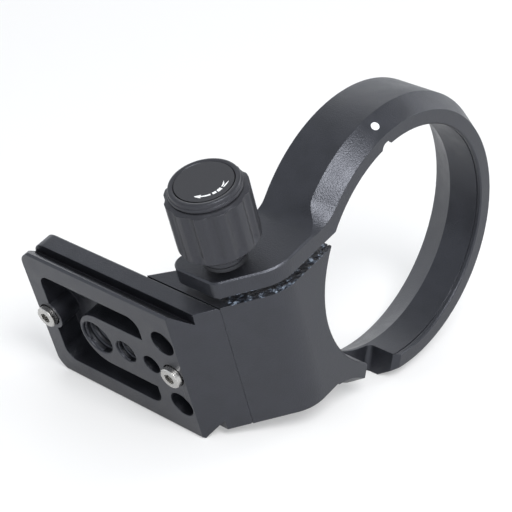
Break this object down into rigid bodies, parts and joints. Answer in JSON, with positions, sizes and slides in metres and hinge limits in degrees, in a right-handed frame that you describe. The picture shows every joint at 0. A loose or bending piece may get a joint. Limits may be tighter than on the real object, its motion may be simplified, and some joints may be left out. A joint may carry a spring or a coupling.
{
  "type": "lens tripod collar",
  "caption": "Split clamp ring on a leaning bracket, with a screwed-on dovetail foot plate carrying tripod threads and a fluted knob that closes the ring round a lens barrel.",
  "frame": {"origin": "centre of the ring, on the lens axis and halfway along the ring's width", "axes": "+Y along the lens axis from the front face to the flared rear mouth, +Z from the foot up to the ring, +X away from the knob"},
  "size_m": [0.0827, 0.0643, 0.096],
  "materials": {
    "collar": "black anodised over fine bead blasting, satin",
    "foot": "black anodised over fine bead blasting, satin",
    "foot_screw": "black oxide steel",
    "stop_screw": "bright stainless steel",
    "knob": "black moulded plastic, fine matte",
    "cap": "black moulded plastic with a white printed turning arrow",
    "knob_screw": "zinc-plated steel",
    "washer": "black nylon"
  },
  "bodies": {
    "collar": {"collar_body": "collar", "foot_plate": "foot", "foot_screw_left": "foot_screw", "foot_screw_right": "foot_screw", "stop_screw_front": "stop_screw", "stop_screw_rear": "stop_screw"},
    "washer": {"thrust_washer": "washer"},
    "knob": {"knob_grip": "knob", "knob_cap": "cap", "knob_screw": "knob_screw"}
  },
  "joints": [
    {"name": "knob_travel", "type": "slide", "parent": "collar", "child": "washer", "axis": [-1, 0, 0], "range_m": [-0.001, 0.0016]},
    {"name": "knob_spin", "type": "hinge", "parent": "washer", "child": "knob", "pos_m": [-0.0315, 0.00322, -0.043], "axis": [-1, 0, 0], "range_deg": [-450, 720]}
  ],
  "couplings": [
    {"joint": "knob_travel", "follows": "knob_spin", "m_per_rad": 0.00012732}
  ]
}
